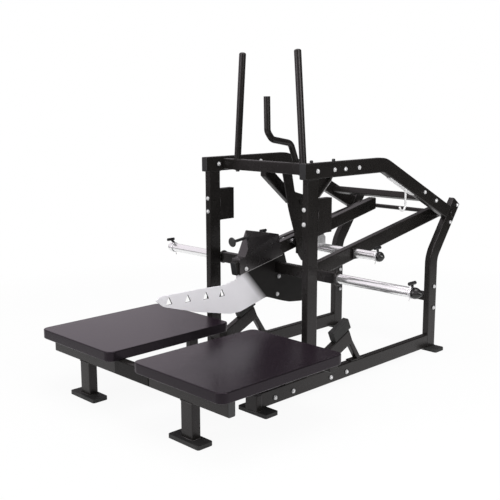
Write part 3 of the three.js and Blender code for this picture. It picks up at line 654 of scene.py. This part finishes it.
def make_beads():
    def maker(bm):
        for sign in (1, -1):
            for (x, y, z), way, half_x, half_way in BEAD_LOOPS:
                add_bead(bm, loop(spot(sign * x, y, z), X_WAY, way, half_x, half_way))
            rod = spot(sign * ROD_X, MEMBER_BACK, MEMBER_TOP)
            add_bead(bm, circle(rod, X_WAY, Y_WAY, ROD_BEAD_RADIUS))
    new_piece("weld_beads", maker, "frame", "frame_black")


# The upper part of the belt plate, up to the lever, mostly black with belt_steel's painted dark
# reflection: outline as (Y, Z) and half width (mm)
BELT_WEB = [(-128, 576), (-128, 603.4), (236, 677.9), (273, 566), (230, 560), (60, 560)]
WEB_HALF = 3.6


def make_belt_web():
    def maker(bm):
        add_rings(bm, [[spot(x, y, z) for y, z in BELT_WEB] for x in (-WEB_HALF, WEB_HALF)])
    new_piece("belt_plate_web", maker, "lever", "belt_steel")


# Folded edges under the right gusset and along the lever's cover, pale grey as a painted highlight
# of the light they catch: the edge's two ends, how far in from them it starts, and the corners of
# its section as (X, upward), all in mm
GUSSET_EDGE = ((TUBE_X, 80, 1025), (TUBE_X, 188, 1117))
GUSSET_INSET = 8
GUSSET_SECTION = ((16, -5.5), (-16, -5.5), (-16, -9.5), (16, -9.5))
COVER_EDGE = ((28.6, -126, 604.0), (28.6, 196, 670.0))
COVER_SECTION = ((-1.5, -1), (2, -1), (2, 1.6), (-1.5, 1.6))


def make_lips():
    def strip(edge, inset, section):
        def maker(bm):
            low, high = (spot(*end) for end in edge)
            way = (high - low).normalized()
            up = way.cross(X_WAY)
            up = up if up.z > 0 else -up
            ends = (low + way * (inset * MM), high - way * (inset * MM))
            add_rings(bm, [[end + X_WAY * (dx * MM) + up * (dz * MM) for dx, dz in section]
                           for end in ends])
        return maker
    # Both lips wear the pale grey painted highlight
    painted_highlight = MATERIALS["lip_painted_highlight"]
    gusset = strip(GUSSET_EDGE, GUSSET_INSET, GUSSET_SECTION)
    new_piece("gusset_lip", gusset, "frame", "frame_black", painted_highlight)
    new_piece("cover_lip", strip(COVER_EDGE, 0, COVER_SECTION), "lever", "frame_black", painted_highlight)


# Wire rings of the horn clips, with the end of the wire below: the side and middle of each clip
# in mm, by body, and the wire's end as turned steps in metres
CLIPS = {"clip_long_right": (1, 891, 183, 600.3), "clip_long_left": (-1, 891, 183, 600.3),
         "clip_short_right": (1, 433, 522, 670), "clip_short_left": (-1, 413, 522, 670)}
WIRE = 1.9 * MM
WIRE_END = [(0.027, WIRE), (0.045, WIRE), (0.0465, WIRE * 0.4)]
WIRE_SIDES = 8
WIRE_END_SIDES = 10
WIRE_LEAN = 0.25
WIRE_RING_RADIUS = 28.4
WIRE_RING_BACK = 8


def add_wire_ring(bm, centre, sign):
    turns = [2 * math.pi * k / WIRE_SIDES for k in range(WIRE_SIDES)]
    rings = []
    for point in circle(centre, Y_WAY, Z_WAY, WIRE_RING_RADIUS):
        out = (point - centre).normalized()
        rings.append([point + out * (WIRE * math.cos(t)) + X_WAY * (WIRE * math.sin(t))
                      for t in turns])
    add_rings(bm, rings, closed=True)
    add_turned(bm, WIRE_END, centre, (-sign * WIRE_LEAN, 0, -1), WIRE_END_SIDES)


def make_wire_rings():
    for body, (sign, x, y, z) in CLIPS.items():
        centre = spot(sign * (x - WIRE_RING_BACK), y, z)

        def maker(bm, centre=centre, sign=sign):
            add_wire_ring(bm, centre, sign)
        new_piece(f"{body}_wire", maker, body, "horn_chrome")


# The pale studio. The floor is white to the eye, and in reflections near the machine. Seen and
# mirrored give its glow near and far, and all three the distances between which it changes (m)
FLOOR_SIZE = 14.0
FLOOR_DROP = 0.0005
FLOOR_NEAR = ((0.88, 0.88, 0.88), (0.9, 0.9, 0.9))
FLOOR_FAR = (0.07, 0.07, 0.07)
FLOOR_FADE = (2.0, 4.6)
FLOOR_SEEN = (0.93, 1.0, 1.6, 3.4)
FLOOR_MIRRORED = (0.8, 0.0, 1.6, 4.4)
FLOOR_ROUGH = 0.9

# The backdrop is white to the eye. Reflections see it bright on one side and overhead, given as
# its lowest and highest glow and the edge between them; all other rays see AIR
BACKDROP_WAY = (-0.70, -0.71, 0.5)
BACKDROP = (0.08, 0.88, 0.075, 0.215)
ROOF = (0.1, 1.0, 0.8, 0.95)
AIR = 0.5
EYE_HUE = (1.0, 1.0, 1.0)
MIRROR_HUE = (1.0, 0.93, 0.99)


def make_stage():
    mesh = bpy.data.meshes.new("floor")
    bm = bmesh.new()
    bmesh.ops.create_grid(bm, x_segments=1, y_segments=1, size=FLOOR_SIZE)
    bm.to_mesh(mesh)
    bm.free()
    m = Coat("floor")
    white = m.add("ShaderNodeEmission")
    rays = m.add("ShaderNodeLightPath")
    away = m.add("ShaderNodeVectorMath", operation="LENGTH")
    m.link(m.coords, away.inputs[0])
    away = away.outputs["Value"]
    near = m.clouds(m.noise(0.7, 2), *FLOOR_NEAR)
    m.put(Base_Color=m.mix(m.spread(away, 0.0, 1.0, *FLOOR_FADE), near, FLOOR_FAR),
          Roughness=FLOOR_ROUGH, Specular_IOR_Level=0.0)
    seen = m.times(m.spread(away, *FLOOR_SEEN), rays.outputs["Is Camera Ray"])
    mirrored = m.times(m.spread(away, *FLOOR_MIRRORED), rays.outputs["Is Glossy Ray"])
    mix = m.add("ShaderNodeMixShader")
    m.link(m.sum(seen, mirrored), mix.inputs[0])
    m.link(m.shader.outputs[0], mix.inputs[1])
    m.link(white.outputs[0], mix.inputs[2])
    m.link(mix.outputs[0], m.out.inputs["Surface"])
    mesh.materials.append(m.material)
    floor = bpy.data.objects.new("floor", mesh)
    floor.location = (0, 0, -FLOOR_DROP)
    bpy.context.scene.collection.objects.link(floor)


def make_world():
    world = bpy.data.worlds.new("studio")
    bpy.context.scene.world = world
    world.use_nodes = True
    g = Graph(world.node_tree)
    coords = g.add("ShaderNodeTexCoord")
    rays = g.add("ShaderNodeLightPath")

    def towards(way):
        node = g.add("ShaderNodeVectorMath", operation="DOT_PRODUCT")
        node.inputs[1].default_value = Vector(way).normalized()
        g.link(coords.outputs["Generated"], node.inputs[0])
        return node.outputs["Value"]

    side = g.spread(towards(BACKDROP_WAY), *BACKDROP, "SMOOTHSTEP")
    roof = g.spread(towards(Z_WAY), *ROOF, "SMOOTHSTEP")
    mirrored = g.math("MAXIMUM", side, roof)
    seen = g.blend(rays.outputs["Is Glossy Ray"], AIR, mirrored)
    sky = g.add("ShaderNodeBackground")
    g.link(g.mix(rays.outputs["Is Glossy Ray"], EYE_HUE, MIRROR_HUE), sky.inputs["Color"])
    g.link(g.blend(rays.outputs["Is Camera Ray"], seen, 1.0), sky.inputs["Strength"])
    out = g.add("ShaderNodeOutputWorld")
    g.link(sky.outputs[0], out.inputs[0])


make_camera()
make_world()
make_stage()
for light in LIGHTS:
    area_light(*light)
bpy.context.scene.view_settings.view_transform = "Standard"
dress_nodes()
make_bolts()
make_rod_nuts()
make_caps()
make_beads()
make_belt_web()
make_wire_rings()
make_lips()
